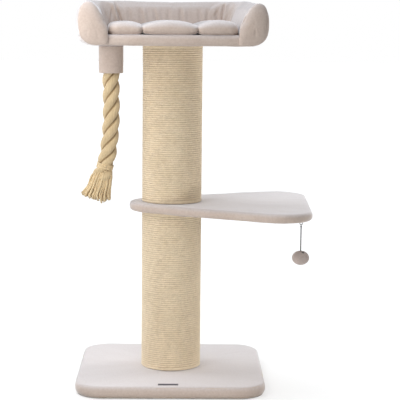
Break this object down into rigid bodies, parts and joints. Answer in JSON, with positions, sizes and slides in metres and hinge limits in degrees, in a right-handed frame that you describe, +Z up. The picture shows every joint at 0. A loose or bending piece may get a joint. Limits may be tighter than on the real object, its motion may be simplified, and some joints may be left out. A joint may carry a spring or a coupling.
{
  "type": "cat scratching post",
  "caption": "Free-standing scratching post for a cat: square base, sisal-wound posts, shelf, padded bed with a cushion, hanging rope and a ball on a string.",
  "frame": {"origin": "on the floor, on the axis of the posts, which is also the middle of the base", "axes": "+Z up along the posts; the front, where the bed opens, faces -Y; the shelf reaches towards +X"},
  "size_m": [0.5993, 0.4874, 0.9713],
  "materials": {
    "plush": "short pile",
    "lining": "matt non-woven",
    "label": "matt",
    "wood": "raw",
    "cardboard": "raw paper tube",
    "sisal": "coarse fibre",
    "cotton": "soft laid rope",
    "tape": "woven tape",
    "steel": "zinc plated",
    "string": "matt",
    "ball": "plush"
  },
  "bodies": {
    "frame": {"base_board": "wood", "base_cover": "plush", "base_lining": "lining", "blank_label": "label", "base_bolt": "steel", "base_washer": "steel", "lower_tube": "cardboard", "lower_foot_disc": "wood", "lower_head_disc": "wood", "lower_sisal": "sisal", "upper_tube": "cardboard", "upper_foot_disc": "wood", "upper_head_disc": "wood", "upper_sisal": "sisal", "tee_nuts": "steel", "tube_screws": "steel", "joining_stud": "steel", "shelf_board": "wood", "shelf_cover": "plush", "shelf_lining": "lining", "bed_board": "wood", "bed_cover": "plush", "bed_lining": "plush", "bed_bolt": "steel", "bed_washer": "steel", "left_bolster": "plush", "back_bolster": "plush", "right_bolster": "plush", "sleeve_tube": "cardboard", "sleeve_cover": "plush", "sleeve_plug": "wood", "sleeve_screw": "steel", "rope_stub": "cotton", "toy_eye": "steel"},
    "cushion": {"cushion": "plush"},
    "rope_bend": {"rope_bend": "cotton"},
    "rope": {"hanging_rope": "cotton", "rope_tie": "tape", "rope_tassel": "cotton"},
    "toy_loop": {"toy_loop": "string"},
    "toy": {"toy_knot": "string", "toy_string": "string", "toy_ball": "ball"}
  },
  "joints": [
    {"name": "cushion_lift", "type": "slide", "parent": "frame", "child": "cushion", "axis": [0, 0, 1], "range_m": [0, 0.12]},
    {"name": "rope_swing_side", "type": "hinge", "parent": "frame", "child": "rope_bend", "pos_m": [-0.152, -0.1, 0.792], "axis": [0, 1, 0], "range_deg": [-22, 22]},
    {"name": "rope_swing_fore", "type": "hinge", "parent": "rope_bend", "child": "rope", "pos_m": [-0.152, -0.1, 0.792], "axis": [1, 0, 0], "range_deg": [-22, 22]},
    {"name": "toy_swing_fore", "type": "hinge", "parent": "frame", "child": "toy_loop", "pos_m": [0.317, -0.20619, 0.43065], "axis": [1, 0, 0], "range_deg": [-60, 60]},
    {"name": "toy_swing_side", "type": "hinge", "parent": "toy_loop", "child": "toy", "pos_m": [0.317, -0.20619, 0.42635], "axis": [0, 1, 0], "range_deg": [-60, 60]}
  ]
}
